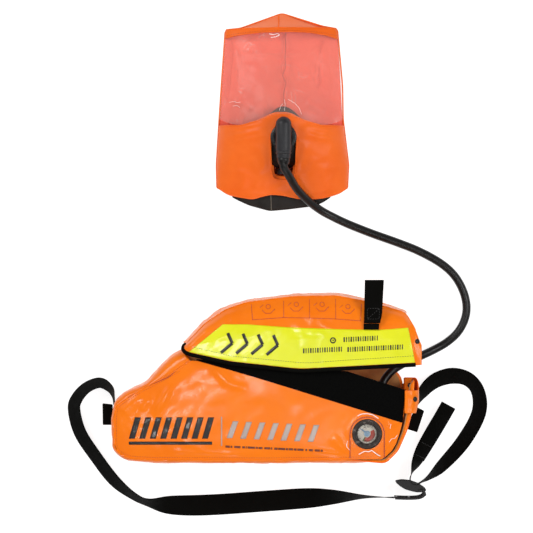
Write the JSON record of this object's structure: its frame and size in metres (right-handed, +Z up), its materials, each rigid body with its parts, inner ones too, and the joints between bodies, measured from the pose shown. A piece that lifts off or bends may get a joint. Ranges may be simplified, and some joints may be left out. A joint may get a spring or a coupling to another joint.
{
  "type": "smoke hood",
  "caption": "Escape breathing set: visored hood on a supply hose, with its carry bag, air cylinder, reducer, gauge, jaw lid and shoulder strap, laid flat.",
  "frame": {"origin": "on the flat back panel of the carry bag, near its middle, in the plane that the whole set lies on", "axes": "+Z up from the surface the set lies on, out of the bag's front face; +Y from the bag to the hood; +X from the bag's foot end to its gauge end"},
  "size_m": [0.7615, 0.9127, 0.1393],
  "materials": {
    "orange_coated_fabric": "glossy polymer-coated fabric",
    "hood_fabric": "satin coated fabric",
    "visor_film": "clear film over the orange back panel",
    "neck_rubber": "matt elastic rubber",
    "moulded_black": "satin moulded",
    "hose_rubber": "smooth extruded",
    "black_webbing": "ribbed woven webbing",
    "hook_tape": "hook and loop pile",
    "tan_lining": "plain woven lining",
    "reflective_strip": "retroreflective film",
    "clear_window": "clear film and lens",
    "nickel": "satin nickel plate",
    "brass": "turned",
    "cylinder_paint": "gloss paint on steel",
    "steel": "bright",
    "dial_face": "printed dial",
    "needle_paint": "painted",
    "silicone": "soft moulded"
  },
  "bodies": {
    "root": {"bag_back_panel": "orange_coated_fabric", "bag_lining": "tan_lining", "bag_gusset": "orange_coated_fabric", "bag_front_panel": "orange_coated_fabric", "front_hook_tape": "hook_tape", "mouth_cuff": "orange_coated_fabric", "cuff_stud_upper": "moulded_black", "cuff_stud_lower": "moulded_black", "gauge_window": "clear_window", "end_loop_left": "black_webbing", "end_loop_right": "black_webbing", "air_cylinder": "cylinder_paint", "cylinder_foot_ring": "neck_rubber", "cylinder_band": "black_webbing", "cylinder_valve_body": "nickel", "charging_cap": "moulded_black", "reducer_body": "nickel", "reducer_cap": "nickel", "reducer_spring": "steel", "relief_valve": "brass", "hose_end_fitting": "nickel", "gauge_case": "nickel", "gauge_boot": "neck_rubber", "gauge_dial": "dial_face", "gauge_lens": "clear_window", "supply_hose": "hose_rubber", "hose_boot": "neck_rubber", "elbow": "moulded_black", "elbow_flange": "moulded_black", "mask_port": "moulded_black", "inner_mask": "neck_rubber", "exhalation_seat": "moulded_black", "exhalation_cover": "moulded_black", "hood_back_panel": "hood_fabric", "hood_lower_panel": "hood_fabric", "hood_visor": "visor_film", "hood_crown": "hood_fabric", "neck_seal": "neck_rubber", "long_strap": "black_webbing", "short_strap": "black_webbing", "adjuster_frame": "moulded_black"},
    "lid": {"lid_front_panel": "orange_coated_fabric", "lid_gusset": "orange_coated_fabric", "lid_back_panel": "orange_coated_fabric", "lid_reflective_strip": "reflective_strip", "lid_binding": "black_webbing", "lid_loop_tape": "hook_tape", "lid_stud": "moulded_black"},
    "pull_tab": {"pull_tab": "black_webbing"},
    "gauge_needle": {"gauge_needle": "needle_paint"},
    "activation_pin": {"activation_pin": "steel"},
    "reducer_piston": {"reducer_piston": "brass"},
    "inhalation_disc": {"inhalation_disc": "silicone"},
    "exhalation_disc": {"exhalation_disc": "silicone"},
    "adjuster_lever": {"adjuster_lever": "moulded_black"}
  },
  "joints": [
    {"name": "lid_hinge", "type": "hinge", "parent": "root", "child": "lid", "pos_m": [-0.149, 0.0945, 0], "axis": [0, 0, 1], "range_deg": [-10, 18]},
    {"name": "pull_tab_hinge", "type": "hinge", "parent": "lid", "child": "pull_tab", "pos_m": [0.174, 0.14, 0.1378], "axis": [1, 0, 0], "range_deg": [0, 120]},
    {"name": "gauge_needle_turn", "type": "hinge", "parent": "root", "child": "gauge_needle", "pos_m": [0.18, -0.058, 0.114], "axis": [0, 0, 1], "range_deg": [-8, 250]},
    {"name": "activation_pin_pull", "type": "slide", "parent": "root", "child": "activation_pin", "axis": [0, 1, 0], "range_m": [0, 0.018]},
    {"name": "reducer_piston_travel", "type": "slide", "parent": "root", "child": "reducer_piston", "axis": [1, 0, 0], "range_m": [0, 0.0012], "stiffness_N_per_m": 4000, "deforming": ["reducer_spring"]},
    {"name": "inhalation_disc_lift", "type": "slide", "parent": "root", "child": "inhalation_disc", "axis": [0, 0, 1], "range_m": [0, 0.0015]},
    {"name": "exhalation_disc_lift", "type": "slide", "parent": "root", "child": "exhalation_disc", "axis": [0, -1, 0], "range_m": [0, 0.0015]},
    {"name": "adjuster_lever_tilt", "type": "hinge", "parent": "root", "child": "adjuster_lever", "pos_m": [0.288, -0.1635, 0], "axis": [0, 0, 1], "range_deg": [0, 20]}
  ]
}
